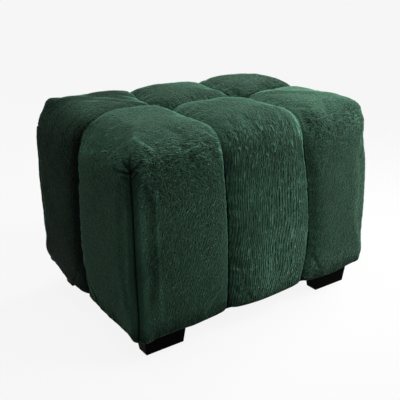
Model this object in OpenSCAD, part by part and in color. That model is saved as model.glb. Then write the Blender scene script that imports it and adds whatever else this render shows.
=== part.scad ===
// Upholstered ottoman. A screwed timber box carries woven elastic webbing, a foam seat,
// foam sides and fibre pads, and a cover of six puffed panels is drawn down at two tufts.
// Millimetres, +Z up. The origin is on the floor under the centre of the ottoman.
// X runs along its length, and its front faces -Y.

/* [Overall size] */
// Length over the puffed ends
overall_l = 610; // [540:5:720]
// Depth over the puffed front and back
overall_w = 470; // [440:5:560]
// Height from the floor to the crown of the top
overall_h = 448; // [400:2:500]

/* [Cover] */
// Thickness of the cover fabric with its backing
cover_t = 1.6; // [1.2:0.1:2.2]
// Reach of the rounded shoulder between a side and the top
shoulder_r = 83; // [60:1:95]
// Squareness of the shoulder, where 2 is a quarter circle
shoulder_power = 3.1; // [2.5:0.1:3.5]
// Squareness of the upright corners, where 2 is an ellipse
corner_power = 18; // [9:0.5:24]
// Radius of the fold where the cover turns under the frame
tuck_r = 9; // [6:0.5:12]
// How far the sides swell at half height
side_swell = 5.6; // [2:0.2:9]
// Distance from a seam to the crest of its puff
puff_reach = 100; // [80:2:120]
// How far a seam is drawn in on the sides
side_seam_d = 13; // [8:0.5:16]
// How far a seam is drawn down on the top
top_seam_d = 15; // [8:0.5:18]
// How far a tuft is drawn down below the seams that meet in it
tuft_d = 21; // [12:0.5:26]
// Radius of the dimple round a tuft
tuft_reach = 60; // [50:1:70]
// Depth of the groove along each upright corner seam
corner_seam_d = 2.5; // [0:0.5:3]
// Width of the hem that is stapled under the frame
hem_w = 8; // [7:0.5:9]

/* [Padding] */
// Least thickness of the fibre pads, under a seam
fill_min = 4; // [3.5:0.5:6]
// Thickness of the foam on the four sides
side_foam_t = 16; // [14:1:18]
// Thickness of the foam seat
seat_foam_t = 80; // [60:1:90]
// Radius of the foam seat's upper edges
foam_edge_r = 40; // [36:1:44]
// Radius of the foam's upright corners
foam_corner_r = 14; // [10:0.5:14]
// Gap between the fibre pads and the cover
pad_gap = 0.8; // [0.6:0.1:1.2]
// Gap between the fibre pads and the foam
foam_gap = 2; // [1.8:0.1:2.4]

/* [Frame] */
// Thickness of the top rails
rail_t = 22; // [18:1:24]
// Height of the top rails
rail_h = 60; // [50:1:70]
// Width of the flat base rails
base_w = 65; // [62:1:75]
// Thickness of the flat base rails
base_t = 20; // [18:1:25]
// Width of the square corner posts
post_w = 40; // [36:1:40]
// Thickness of the hardboard side panels
panel_t = 3; // [2.5:0.5:4]
// Width of the batten that the tufts are tied to
batten_w = 30; // [24:1:34]
// Height of the batten
batten_h = 20; // [16:1:24]
// Drop from the top of the rails to the batten
batten_drop = 25; // [15:1:30]

/* [Webbing] */
// Width of a strap
strap_w = 50; // [40:1:52]
// Thickness of a strap
strap_t = 1.2; // [1:0.1:1.6]
// Distance between the lengthwise straps
long_pitch = 84; // [80:1:88]
// Distance that a strap's end stops short of the rail's outer face
strap_back = 3; // [2:0.5:5]

/* [Feet and underside] */
// Height of a foot
foot_h = 50; // [40:1:60]
// Length of a foot at the floor
foot_l = 85; // [75:1:95]
// Width of a foot at the floor
foot_w = 30; // [28:0.5:36]
// How far each side of a foot leans out over its height
foot_flare = 6; // [3:0.5:8]
// Distance from the cover's end down to the foot's outer end
foot_inset_x = 35; // [32:1:40]
// Distance from the cover's front down to the foot's outer face
foot_inset_y = 37; // [36:0.5:42]
// Distance between the two screws of a foot
foot_screw_pitch = 50; // [44:1:56]
// Depth of the hole that takes a foot screw's head
foot_screw_sink = 12; // [8:1:16]
// Thickness of the dust cover
dust_t = 0.5; // [0.4:0.1:0.8]
// Distance that the dust cover stops short of the frame's outer faces
dust_back = 4; // [3:0.5:5]

/* [Fasteners] */
// Radius of the wood screws
screw_r = 2.2; // [1.8:0.1:2.4]
// Radius of the wood screws' heads
screw_head_r = 4.5; // [4:0.1:4.8]
// Length of the frame screws
frame_screw_l = 50; // [45:1:52]
// Length of the foot screws
foot_screw_l = 54; // [50:1:56]
// Radius of the panel pins
pin_r = 0.8; // [0.6:0.1:1]
// Radius of the panel pins' heads
pin_head_r = 1.9; // [1.6:0.1:2.2]
// Length of the panel pins
pin_l = 18; // [15:1:19]
// Length of a staple's crown
crown_l = 11; // [9:0.5:12]
// Thickness of the staple wire
wire_t = 0.6; // [0.5:0.1:0.7]
// Width of the staple wire
wire_w = 1.1; // [0.9:0.1:1.3]
// Length of a staple's legs
leg_l = 9; // [7:0.5:10]
// Radius of the tufting twine
twine_r = 1.1; // [0.8:0.1:1.2]
// Radius of the twine's knots
knot_r = 2.2; // [2:0.1:2.4]

/* [Hidden] */
$fn = 48;
fit = 0.05;        // clearance round a fastener in its hole
seam_gap = 0.2;    // gap between two panels along a seam
layer_gap = 0.1;   // gap between crossing straps, webbing and foam, and knots and foam
pocket_gap = 12;   // how much wider the foam's pocket is than the dimple over it
square_power = 400; // squareness of the hem's and the pads' inner corners
corner_steps = 8;  // facets from a seam to the upright corner
middle_steps = 10; // facets across a middle panel
long_straps = 4;
cross_straps = 7;

wall_x = overall_l / 2 - side_swell;
wall_y = overall_w / 2 - side_swell;
tuft_x = wall_x / 3;
pad_in = cover_t + pad_gap;
foam_x = wall_x - side_seam_d - pad_in - fill_min;
foam_y = wall_y - side_seam_d - pad_in - fill_min;
foam_top = overall_h - top_seam_d - pad_in - fill_min;
frame_x = foam_x - side_foam_t - panel_t;
frame_y = foam_y - side_foam_t - panel_t;
seat_z = foam_top - seat_foam_t;
rail_z = seat_z - 2 * strap_t - 2 * layer_gap;
cover_z = foot_h + dust_t + wire_t;
base_z = cover_z + cover_t;
post_z = base_z + base_t;
side_foam_z = cover_z + tuck_r + pad_gap;
hem_x = frame_x - hem_w;
hem_y = frame_y - hem_w;
post_x = frame_x - rail_t - post_w / 2;
post_y = frame_y - rail_t - post_w / 2;
foot_x = wall_x - foot_inset_x - foot_l / 2;
foot_y = wall_y - foot_inset_y - foot_w / 2;
batten_z = rail_z - batten_drop - batten_h;
cross_pitch = tuft_x / 1.5;
knot_z = overall_h - top_seam_d - tuft_d - cover_t - knot_r - layer_gap;

corner_names = ["front_left", "front_right", "back_left", "back_right"];
corner_signs = [[-1, -1], [1, -1], [-1, 1], [1, 1]];
side_names = ["front", "back"];
end_names = ["left", "right"];

// Height of a puff at a place w between its seam, 0, and its crest, 1
function puff(w) = let(c = min(max(w, 0), 1)) sqrt(1 - (1 - c) * (1 - c));

// Depth of the dimple at a distance r from a tuft
function dimple(r) = let(c = max(1 - r / tuft_reach, 0)) tuft_d * c * c;

// Places from 0 to 1 that lie closer together at both ends
function eased(t) = (1 - cos(180 * t)) / 2;

// Direction from a panel's inner corner to its rim: column j of 2 * corner_steps
function rim_u(j) = j <= corner_steps ? 1 : eased((2 * corner_steps - j) / corner_steps);
function rim_v(j) = j <= corner_steps ? eased(j / corner_steps) : 1;
function rim_size(j, power) = pow(pow(rim_u(j), power) + pow(rim_v(j), power), 1 / power);

// Rows of a panel from its hem to the middle of the top, each as its zone and place in it
HEM = 0;
TUCK = 1;
WALL = 2;
SHOULDER = 3;
TOP = 4;
wall_rows = 4;
shoulder_rows = 6;
top_rows = 6;
function zone_rows(zone, count, first, step) = [for (i = [first:step:count]) [zone, i / count]];
cover_rows = concat(
  [[HEM, 0]],
  zone_rows(TUCK, 2, 0, 1),
  zone_rows(WALL, wall_rows, 1, 1),
  zone_rows(SHOULDER, shoulder_rows, 1, 1),
  zone_rows(TOP, top_rows, 1, 1));
pad_rows = concat(
  zone_rows(WALL, wall_rows, 0, 2),
  zone_rows(SHOULDER, shoulder_rows, 2, 2),
  zone_rows(TOP, top_rows, 2, 1));

// Section of the cover at a depth d inside its face: set-in, height, side share, top share
function cover_section(row, d) =
  let(
    zone = row[0],
    a = 90 * row[1],
    low = cover_z + tuck_r,
    high = overall_h - shoulder_r,
    rt = tuck_r - d,
    rs = shoulder_r - d,
    c = pow(cos(a), 2 / shoulder_power),
    s = pow(sin(a), 2 / shoulder_power))
  zone == HEM ? [0, cover_z + d, 0, 0]
  : zone == TUCK ? [rt * (1 - sin(a)), low - rt * cos(a), 1, 0]
  : zone == WALL ? [0, low + (high - low) * row[1], 1, 0]
  : zone == SHOULDER ? [rs * (1 - c), high + rs * s, sqrt(1 - s * s), s]
  : [rs, overall_h - d, 0, 1];

// Share of the way in to the middle that a row of the top has gone
function way_in(row) = row[0] == TOP ? sin(90 * row[1]) : 0;

// A point of the cover, moved in and down from its crest by the seams and the tuft
function drawn_in(x, y, section, across, along, out, groove) =
  let(
    flat = 1 - puff(across / puff_reach) * puff(along / puff_reach),
    rise = (section[1] - cover_z) / (overall_h - cover_z),
    swell = side_swell * 4 * rise * (1 - rise),
    inward = (side_seam_d * flat + groove - swell) * section[2],
    down = top_seam_d * flat * section[3] + dimple(norm([across, along])) * pow(section[3], 2))
  [x - out[0] * inward, y - out[1] * inward, section[1] - down];

// Corner panel, with its inner corner over a tuft, at a depth d inside the cover's face
function corner_point(j, row, d) =
  let(
    s = cover_section(row, d),
    x0 = tuft_x + seam_gap / 2 + d,
    y0 = seam_gap / 2 + d,
    reach_x = row[0] == HEM ? hem_x - x0 : wall_x - d - s[0] - x0,
    reach_y = row[0] == HEM ? hem_y - y0 : wall_y - d - s[0] - y0,
    size = rim_size(j, row[0] == HEM ? square_power : corner_power),
    across = reach_x * (1 - way_in(row)) * rim_u(j) / size,
    along = reach_y * (1 - way_in(row)) * rim_v(j) / size,
    n = [pow(rim_u(j), corner_power - 1), pow(rim_v(j), corner_power - 1)],
    groove = j == corner_steps ? corner_seam_d : 0)
  drawn_in(x0 + across, y0 + along, s, across, along, n / norm(n), groove);

// Middle panel, between the two tufts
function middle_point(k, row, d) =
  let(
    s = cover_section(row, d),
    half = tuft_x - seam_gap / 2 - d,
    y0 = seam_gap / 2 + d,
    x = half * (1 - 2 * eased(k / middle_steps)),
    reach_y = row[0] == HEM ? hem_y - y0 : wall_y - d - s[0] - y0,
    along = reach_y * (1 - way_in(row)))
  drawn_in(x, y0 + along, s, half - abs(x), along, [0, 1], 0);

// Inner face of the fibre pads, which follows the foam at its gap
function foam_section(row) =
  let(
    a = 90 * row[1],
    r = foam_edge_r + foam_gap,
    low = side_foam_z,
    high = foam_top - foam_edge_r)
  row[0] == WALL ? [0, low + (high - low) * row[1]]
  : row[0] == SHOULDER ? [r * (1 - cos(a)), high + r * sin(a)]
  : [r, high + r];

function corner_foam_point(j, row, d) =
  let(
    s = foam_section(row),
    x0 = tuft_x + seam_gap / 2 + d,
    y0 = seam_gap / 2 + d,
    size = rim_size(j, square_power),
    across = (foam_x + foam_gap - s[0] - x0) * (1 - way_in(row)) * rim_u(j) / size,
    along = (foam_y + foam_gap - s[0] - y0) * (1 - way_in(row)) * rim_v(j) / size)
  [x0 + across, y0 + along, s[1] - (row[0] == TOP ? dimple(norm([across, along])) : 0)];

function middle_foam_point(k, row, d) =
  let(
    s = foam_section(row),
    half = tuft_x - seam_gap / 2 - d,
    y0 = seam_gap / 2 + d,
    x = half * (1 - 2 * eased(k / middle_steps)),
    along = (foam_y + foam_gap - s[0] - y0) * (1 - way_in(row)))
  [x, y0 + along, s[1] - (row[0] == TOP ? dimple(norm([half - abs(x), along])) : 0)];

// Closed solid between an outer and an inner grid, whose last row is a point on a corner panel
module between(outer, inner, tip) {
  cols = len(outer[0]);
  last = len(outer) - (tip ? 2 : 1);
  size = (last + 1) * cols;
  top_out = 2 * size;
  top_in = 2 * size + 1;
  points = concat(
    [for (i = [0:last]) for (p = outer[i]) p],
    [for (i = [0:last]) for (p = inner[i]) p],
    tip ? [outer[last + 1][0], inner[last + 1][0]] : []);
  sheets = [for (i = [0:last - 1]) for (j = [0:cols - 2])
    let(a = i * cols + j, b = a + 1, d = a + cols, c = d + 1)
    each [[a, c, b], [a, d, c], [a + size, b + size, c + size], [a + size, c + size, d + size]]];
  hem = [for (j = [0:cols - 2]) each [[j, j + 1, j + 1 + size], [j, j + 1 + size, j + size]]];
  edges = [for (i = [0:last - 1])
    let(a = i * cols, d = a + cols, b = a + cols - 1, c = d + cols - 1)
    each [[d, a, a + size], [d, a + size, d + size], [b, c, c + size], [b, c + size, b + size]]];
  row = last * cols;
  end = row + cols - 1;
  crown = tip
    ? concat(
        [for (j = [row:end - 1]) each [[j, top_out, j + 1], [j + size, j + 1 + size, top_in]]],
        [[top_out, row, row + size], [top_out, row + size, top_in]],
        [[end, top_out, top_in], [end, top_in, end + size]])
    : [for (j = [row:end - 1]) each [[j + 1, j, j + size], [j + 1, j + size, j + 1 + size]]];
  polyhedron(points, concat(sheets, hem, edges, crown), 6);
}

// Copies for one corner or side: the model is drawn at +X and +Y and mirrored from there
module at_corner(sign) {
  mirror([sign[0] < 0 ? 1 : 0, 0, 0])
    mirror([0, sign[1] < 0 ? 1 : 0, 0])
      children();
}

module at_side(sign) {
  mirror([0, sign < 0 ? 1 : 0, 0])
    children();
}

module at_end(sign) {
  mirror([sign < 0 ? 1 : 0, 0, 0])
    children();
}

// Box from its lowest to its highest corner
module block(low, high) {
  translate(low)
    cube(high - low);
}

// Turns a fastener, drawn pointing up from its head, to point along a direction
module aimed(place, direction) {
  translate(place)
    rotate(direction[2] != 0 ? [0, 0, 0] : [-90 * direction[1], 90 * direction[0], 0])
      children();
}

module countersunk(head_r, shank_r, length, grow) {
  slope = head_r - shank_r;
  rotate_extrude()
    polygon([
      [0, 0],
      [head_r + grow, 0],
      [shank_r + grow, slope],
      [shank_r + grow, length - shank_r],
      [0, length + grow]]);
}

// Staple at the origin with its crown along X above the face and its legs down -Z
module staple(grow) {
  for (s = [-1, 1])
    translate([s * (crown_l - wire_t) / 2, 0, -leg_l / 2])
      cube([wire_t + 2 * grow, wire_w + 2 * grow, leg_l + (grow > 0 ? wire_t : 0)], center = true);
  if (grow == 0)
    translate([0, 0, wire_t / 2])
      cube([crown_l, wire_w, wire_t], center = true);
}

// Timber frame
frame_screws_at_corner = [
  for (share = [0.2, 0.8])
    [[post_x, frame_y, rail_z - share * rail_h], [0, -1, 0]],
  for (share = [0.35, 0.65])
    [[frame_x, post_y, rail_z - share * rail_h], [-1, 0, 0]],
  [[post_x, post_y, base_z], [0, 0, 1]]];
batten_screw = [[frame_x, 0, batten_z + batten_h / 2], [-1, 0, 0]];
foot_screws_at_corner = [
  for (s = [-1, 1])
    [foot_x + s * foot_screw_pitch / 2, foot_y, foot_screw_sink]];

// Panel pins, along the middle of the top rails and of the base rails
pin_heights = [base_z + base_t / 2, rail_z - rail_h / 2];
side_pins = [
  for (z = pin_heights)
    for (share = [-0.57, -0.285, 0, 0.285, 0.57])
      [[share * frame_x, frame_y + panel_t, z], [0, -1, 0]]];
end_pins = [
  for (z = pin_heights)
    for (share = [-0.4, 0.1, 0.4])
      [[frame_x + panel_t, share * frame_y, z], [-1, 0, 0]]];

module wood_screw(place, direction, length, grow) {
  aimed(place, direction)
    countersunk(screw_head_r, screw_r, length, grow);
}

module panel_pin(pin, grow) {
  aimed(pin[0], pin[1])
    countersunk(pin_head_r, pin_r, pin_l, grow);
}

module corner_screw_holes() {
  for (screw = frame_screws_at_corner)
    wood_screw(screw[0], screw[1], frame_screw_l, fit);
}

module pin_holes() {
  for (sign = [-1, 1]) {
    at_side(sign)
      for (pin = side_pins)
        panel_pin(pin, fit);
    at_end(sign)
      for (pin = end_pins)
        panel_pin(pin, fit);
  }
}

module every_corner() {
  for (sign = corner_signs)
    at_corner(sign)
      children();
}

module foot(sign) {
  top = [foot_l / 2 + foot_flare, foot_w / 2 + foot_flare];
  color([0.03, 0.03, 0.03])
    at_corner(sign)
      difference() {
        translate([foot_x, foot_y, 0])
          intersection() {
            rotate([90, 0, 0])
              linear_extrude(2 * top[1], center = true)
                polygon([[-foot_l / 2, 0], [foot_l / 2, 0], [top[0], foot_h], [-top[0], foot_h]]);
            rotate([90, 0, 90])
              linear_extrude(2 * top[0], center = true)
                polygon([[-foot_w / 2, 0], [foot_w / 2, 0], [top[1], foot_h], [-top[1], foot_h]]);
          }
        for (place = foot_screws_at_corner) {
          wood_screw(place, [0, 0, 1], foot_screw_l, fit);
          translate([place[0], place[1], -1])
            cylinder(r = screw_head_r + fit, h = foot_screw_sink + 1);
        }
      }
}

module foot_screw_holes() {
  every_corner()
    for (place = foot_screws_at_corner)
      wood_screw(place, [0, 0, 1], foot_screw_l, fit);
}

module base_rail_side(sign) {
  color("burlywood")
    difference() {
      at_side(sign)
        block([-frame_x, frame_y - base_w, base_z], [frame_x, frame_y, post_z]);
      every_corner()
        corner_screw_holes();
      foot_screw_holes();
      pin_holes();
      hem_staples_placed(fit);
      dust_staples_placed(fit);
    }
}

module base_rail_end(sign) {
  color("burlywood")
    difference() {
      at_end(sign)
        block([frame_x - base_w, base_w - frame_y, base_z], [frame_x, frame_y - base_w, post_z]);
      pin_holes();
      hem_staples_placed(fit);
      dust_staples_placed(fit);
    }
}

module post(sign) {
  color("tan")
    at_corner(sign)
      difference() {
        block(
          [post_x - post_w / 2, post_y - post_w / 2, post_z],
          [post_x + post_w / 2, post_y + post_w / 2, rail_z]);
        corner_screw_holes();
      }
}

module top_rail_side(sign) {
  color("burlywood")
    difference() {
      at_side(sign)
        block([-frame_x, frame_y - rail_t, rail_z - rail_h], [frame_x, frame_y, rail_z]);
      every_corner()
        corner_screw_holes();
      pin_holes();
      webbing_staples_placed(fit);
    }
}

module top_rail_end(sign) {
  color("burlywood")
    difference() {
      at_end(sign)
        block(
          [frame_x - rail_t, rail_t - frame_y, rail_z - rail_h],
          [frame_x, frame_y - rail_t, rail_z]);
      every_corner()
        corner_screw_holes();
      at_end(sign)
        wood_screw(batten_screw[0], batten_screw[1], frame_screw_l, fit);
      pin_holes();
      webbing_staples_placed(fit);
    }
}

module side_panel_side(sign) {
  color("peru")
    at_side(sign)
      difference() {
        block([-frame_x, frame_y, base_z], [frame_x, frame_y + panel_t, rail_z]);
        for (pin = side_pins)
          panel_pin(pin, fit);
      }
}

module side_panel_end(sign) {
  edge = frame_y + panel_t;
  color("peru")
    at_end(sign)
      difference() {
        block([frame_x, -edge, base_z], [frame_x + panel_t, edge, rail_z]);
        for (pin = end_pins)
          panel_pin(pin, fit);
      }
}

module tuft_batten() {
  half = frame_x - rail_t;
  color("tan")
    difference() {
      block([-half, -batten_w / 2, batten_z], [half, batten_w / 2, batten_z + batten_h]);
      for (sign = [-1, 1]) {
        translate([sign * tuft_x, 0, batten_z - 1])
          cylinder(r = twine_r + 4 * fit, h = batten_h + 2);
        at_end(sign)
          wood_screw(batten_screw[0], batten_screw[1], frame_screw_l, fit);
      }
    }
}

// Woven webbing: a strap lies on the rails, and rises over every second strap it crosses
function long_y(k) = (k - (long_straps + 1) / 2) * long_pitch;
function cross_x(k) = (k - (cross_straps + 1) / 2) * cross_pitch;

// Lower edge of a strap's side view, from one end over the open frame to the other
function strap_line(half, open_half, crossings, odd) = concat(
  [[-half, 0], [-open_half, 0]],
  [for (i = [0:len(crossings) - 1])
    for (s = [-1, 1])
      [
        crossings[i] + s * (strap_w / 2 + 1),
        (i + odd) % 2 == 0 ? strap_t + layer_gap : 0
      ]],
  [[open_half, 0], [half, 0]]);

module strap(frame_half, crossings, odd) {
  line = strap_line(frame_half - strap_back, frame_half - rail_t, crossings, odd);
  count = len(line);
  rotate([90, 0, 0])
    linear_extrude(strap_w, center = true)
      polygon(concat(line, [for (i = [1:count]) line[count - i] + [0, strap_t]]));
}

module long_strap(k) {
  color("dimgray")
    difference() {
      translate([0, long_y(k), rail_z])
        strap(frame_x, [for (i = [1:cross_straps]) cross_x(i)], k);
      webbing_staples_placed(fit);
    }
}

module cross_strap(k) {
  color("slategray")
    difference() {
      translate([cross_x(k), 0, rail_z])
        rotate([0, 0, 90])
          strap(frame_y, [for (i = [1:long_straps]) long_y(i)], k + 1);
      webbing_staples_placed(fit);
    }
}

// Foam
module seat_foam() {
  color("khaki")
    difference() {
      intersection() {
        foam_slab(foam_x, 2 * foam_y, 90);
        foam_slab(foam_y, 2 * foam_x, 0);
        translate([0, 0, seat_z])
          linear_extrude(seat_foam_t)
            rounded_plan(foam_x, foam_y, foam_corner_r);
      }
      for (s = [-1, 1])
        translate([s * tuft_x, 0, 0]) {
          rotate_extrude()
            polygon(concat(
              [[0, foam_top + 1], [0, foam_top - tuft_d]],
              [for (i = [0:6]) let(r = tuft_reach * i / 6) [r + pocket_gap, foam_top - dimple(r)]],
              [[tuft_reach + pocket_gap, foam_top + 1]]));
          translate([0, 0, seat_z - 1])
            cylinder(r = knot_r + layer_gap, h = seat_foam_t);
        }
    }
}

// Slab along X or Y whose two upper edges are rounded
module foam_slab(half, length, turn) {
  r = foam_edge_r;
  rotate([0, 0, turn - 90])
    rotate([90, 0, 0])
      linear_extrude(length, center = true)
        union() {
          translate([-half, seat_z])
            square([2 * half, seat_foam_t - r]);
          translate([r - half, seat_z])
            square([2 * (half - r), seat_foam_t]);
          for (s = [-1, 1])
            translate([s * (half - r), foam_top - r])
              circle(r);
        }
}

module rounded_plan(half_x, half_y, r) {
  square([2 * half_x, 2 * (half_y - r)], center = true);
  square([2 * (half_x - r), 2 * half_y], center = true);
  for (sx = [-1, 1])
    for (sy = [-1, 1])
      translate([sx * (half_x - r), sy * (half_y - r)])
        circle(r);
}

module side_foam_side(sign) {
  color("palegoldenrod")
    at_side(sign)
      translate([0, 0, side_foam_z])
        linear_extrude(seat_z - side_foam_z)
          intersection() {
            rounded_plan(foam_x, foam_y, foam_corner_r);
            translate([-foam_x, frame_y + panel_t])
              square([2 * foam_x, side_foam_t]);
          }
}

module side_foam_end(sign) {
  edge = frame_y + panel_t;
  color("palegoldenrod")
    at_end(sign)
      block([frame_x + panel_t, -edge, side_foam_z], [foam_x, edge, seat_z]);
}

// Fibre pads and cover panels
module fibre_pad_corner(sign) {
  color("whitesmoke")
    at_corner(sign)
      between(
        [for (row = pad_rows) [for (j = [0:2:2 * corner_steps]) corner_point(j, row, pad_in)]],
        [for (row = pad_rows) [for (j = [0:2:2 * corner_steps]) corner_foam_point(j, row, pad_in)]],
        true);
}

module fibre_pad_middle(sign) {
  color("whitesmoke")
    at_side(sign)
      between(
        [for (row = pad_rows) [for (k = [0:2:middle_steps]) middle_point(k, row, pad_in)]],
        [for (row = pad_rows) [for (k = [0:2:middle_steps]) middle_foam_point(k, row, pad_in)]],
        false);
}

module cover_corner(sign) {
  color([0.06, 0.24, 0.16])
    at_corner(sign)
      difference() {
        between(
          [for (row = cover_rows) [for (j = [0:2 * corner_steps]) corner_point(j, row, 0)]],
          [for (row = cover_rows) [for (j = [0:2 * corner_steps]) corner_point(j, row, cover_t)]],
          true);
        for (place = corner_hem_staples)
          underside_staple(place, fit);
      }
}

module cover_middle(sign) {
  color([0.07, 0.27, 0.18])
    at_side(sign)
      difference() {
        between(
          [for (row = cover_rows) [for (k = [0:middle_steps]) middle_point(k, row, 0)]],
          [for (row = cover_rows) [for (k = [0:middle_steps]) middle_point(k, row, cover_t)]],
          false);
        for (place = middle_hem_staples)
          underside_staple(place, fit);
      }
}

// Twine from the seam crossing down through the foam and the batten, with a knot at each end
module tuft_twine(sign) {
  low = batten_z - knot_r - layer_gap;
  color("ivory")
    translate([sign * tuft_x, 0, 0])
      union() {
        translate([0, 0, low])
          cylinder(r = twine_r, h = knot_z - low);
        translate([0, 0, low])
          sphere(knot_r);
        translate([0, 0, knot_z])
          sphere(knot_r);
      }
}

// Staples, each as its place and its turn about Z
hem_mid_x = hem_x + hem_w / 2;
hem_mid_y = hem_y + hem_w / 2;
corner_hem_staples = [
  for (share = [0.2, 0.45, 0.7])
    [[tuft_x + share * (hem_x - tuft_x), hem_mid_y, cover_z], 0],
  for (share = [0.2, 0.45, 0.7])
    [[hem_mid_x, share * hem_y, cover_z], 90]];
middle_hem_staples = [
  for (share = [-0.5, 0, 0.5])
    [[share * tuft_x, hem_mid_y, cover_z], 0]];
dust_x = frame_x - base_w / 3;
dust_y = frame_y - base_w / 3;
side_dust_staples = [
  for (share = [-0.5, -0.25, 0, 0.25, 0.5])
    [[share * dust_x, dust_y, foot_h], 0]];
end_dust_staples = [
  for (share = [-0.5, -0.2, 0.2, 0.5])
    [[dust_x, share * dust_y, foot_h], 90]];

// Staple driven up into the underside
module underside_staple(staple_place, grow) {
  translate(staple_place[0])
    rotate([180, 0, staple_place[1]])
      staple(grow);
}

module hem_staples_placed(grow) {
  every_corner()
    for (place = corner_hem_staples)
      underside_staple(place, grow);
  for (sign = [-1, 1])
    at_side(sign)
      for (place = middle_hem_staples)
        underside_staple(place, grow);
}

module dust_staples_placed(grow) {
  for (sign = [-1, 1]) {
    at_side(sign)
      for (place = side_dust_staples)
        underside_staple(place, grow);
    at_end(sign)
      for (place = end_dust_staples)
        underside_staple(place, grow);
  }
}

// Two staples hold each end of a strap on its rail
module webbing_staples_placed(grow) {
  for (sign = [-1, 1])
    for (s = [-1, 1]) {
      for (k = [1:long_straps])
        translate([sign * (frame_x - rail_t / 2), long_y(k) + s * strap_w / 4, rail_z + strap_t])
          rotate([0, 0, 90])
            staple(grow);
      for (k = [1:cross_straps])
        translate([cross_x(k) + s * strap_w / 4, sign * (frame_y - rail_t / 2), rail_z + strap_t])
          staple(grow);
    }
}

module dust_cover() {
  half_x = frame_x - dust_back;
  half_y = frame_y - dust_back;
  color([0.12, 0.12, 0.12])
    difference() {
      block([-half_x, -half_y, foot_h], [half_x, half_y, foot_h + dust_t]);
      foot_screw_holes();
      dust_staples_placed(fit);
    }
}

module frame_screws() {
  color("silver") {
    every_corner()
      for (screw = frame_screws_at_corner)
        wood_screw(screw[0], screw[1], frame_screw_l, 0);
    for (sign = [-1, 1])
      at_end(sign)
        wood_screw(batten_screw[0], batten_screw[1], frame_screw_l, 0);
  }
}

module foot_screws() {
  color("silver")
    every_corner()
      for (place = foot_screws_at_corner)
        wood_screw(place, [0, 0, 1], foot_screw_l, 0);
}

module panel_pins() {
  color("silver")
    for (sign = [-1, 1]) {
      at_side(sign)
        for (pin = side_pins)
          panel_pin(pin, 0);
      at_end(sign)
        for (pin = end_pins)
          panel_pin(pin, 0);
    }
}

module webbing_staples() {
  color("silver")
    webbing_staples_placed(0);
}

module hem_staples() {
  color("silver")
    hem_staples_placed(0);
}

module dust_cover_staples() {
  color("silver")
    dust_staples_placed(0);
}

for (i = [0:3]) {
  foot(corner_signs[i]);
  post(corner_signs[i]);
  fibre_pad_corner(corner_signs[i]);
  cover_corner(corner_signs[i]);
}
for (i = [0:1]) {
  sign = 2 * i - 1;
  base_rail_side(sign);
  base_rail_end(sign);
  top_rail_side(sign);
  top_rail_end(sign);
  side_panel_side(sign);
  side_panel_end(sign);
  side_foam_side(sign);
  side_foam_end(sign);
  fibre_pad_middle(sign);
  cover_middle(sign);
  tuft_twine(sign);
}
for (k = [1:long_straps])
  long_strap(k);
for (k = [1:cross_straps])
  cross_strap(k);
tuft_batten();
seat_foam();
dust_cover();
frame_screws();
foot_screws();
panel_pins();
webbing_staples();
hem_staples();
dust_cover_staples();
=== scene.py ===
import math

import bmesh
import bpy
import numpy as np
from mathutils import Matrix, Vector, noise


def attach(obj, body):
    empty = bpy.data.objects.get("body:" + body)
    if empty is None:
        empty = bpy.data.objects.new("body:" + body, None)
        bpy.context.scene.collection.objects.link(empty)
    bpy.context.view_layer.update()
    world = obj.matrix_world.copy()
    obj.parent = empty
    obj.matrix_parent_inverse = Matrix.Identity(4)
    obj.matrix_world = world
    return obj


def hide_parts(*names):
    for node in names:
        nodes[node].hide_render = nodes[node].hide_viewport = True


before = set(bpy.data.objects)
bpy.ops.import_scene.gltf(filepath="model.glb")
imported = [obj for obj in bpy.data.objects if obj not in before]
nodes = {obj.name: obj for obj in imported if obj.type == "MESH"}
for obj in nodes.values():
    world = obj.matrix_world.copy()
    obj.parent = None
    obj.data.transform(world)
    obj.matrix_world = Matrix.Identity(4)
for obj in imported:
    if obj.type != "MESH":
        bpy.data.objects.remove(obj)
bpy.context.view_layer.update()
scene = bpy.context.scene
print("frame loaded,", len(nodes), "nodes")

# sizes that the cover shares with the part, in metres
form = dict(
    wallX=0.2994, wallY=0.2294, top=0.448, low=0.0511, tuftX=0.0998, gap=0.0001,
    shoulder=0.083, shoulderPower=3.1, cornerPower=18.0, tuck=0.009, swell=0.0056,
    puffReach=0.100, sideSeam=0.013, topSeam=0.015, tuftDepth=0.021, tuftReach=0.060,
    foamX=0.280, foamY=0.210, foamTop=0.4266, foamEdge=0.040, foamGap=0.002,
    panelX=0.264, panelY=0.194, foamLow=0.0609, hemX=0.253, hemY=0.183, overShoulder=0.215)


# small tools for numbers and nodes

def smooth(x, low, high):
    t = np.clip((x - low) / (high - low), 0, 1)
    return t * t * (3 - 2 * t)


def bump(x, width):
    return np.exp(-(x / width) ** 2)


def noiseAt(points, scale, shift=(0, 0, 0)):
    moved = np.asarray(points) * np.asarray(scale) + np.asarray(shift)
    return np.array([noise.noise(Vector(p)) for p in moved])


def noiseAlong(run, other, scale, shift):
    zero = np.zeros_like(run)
    return noiseAt(np.stack([run, zero + other, zero], 1), scale, shift)


def coordsOf(mesh, field="co"):
    values = np.empty(len(mesh.vertices) * 3, np.float32)
    mesh.vertices.foreach_get(field, values)
    return values.reshape(-1, 3).astype(float)


def setCoords(mesh, points):
    mesh.vertices.foreach_set("co", points.astype(np.float32).ravel())
    mesh.update()


def meshFrom(bm, name):
    mesh = bpy.data.meshes.new(name)
    bm.to_mesh(mesh)
    bm.free()
    return mesh


def thicken(bm, height):
    made = bmesh.ops.extrude_face_region(bm, geom=bm.faces[:])["geom"]
    up = [v for v in made if isinstance(v, bmesh.types.BMVert)]
    bmesh.ops.translate(bm, vec=(0, 0, height), verts=up)
    bmesh.ops.recalc_face_normals(bm, faces=bm.faces)


def smoothFaces(bm):
    for face in bm.faces:
        face.smooth = True


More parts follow.
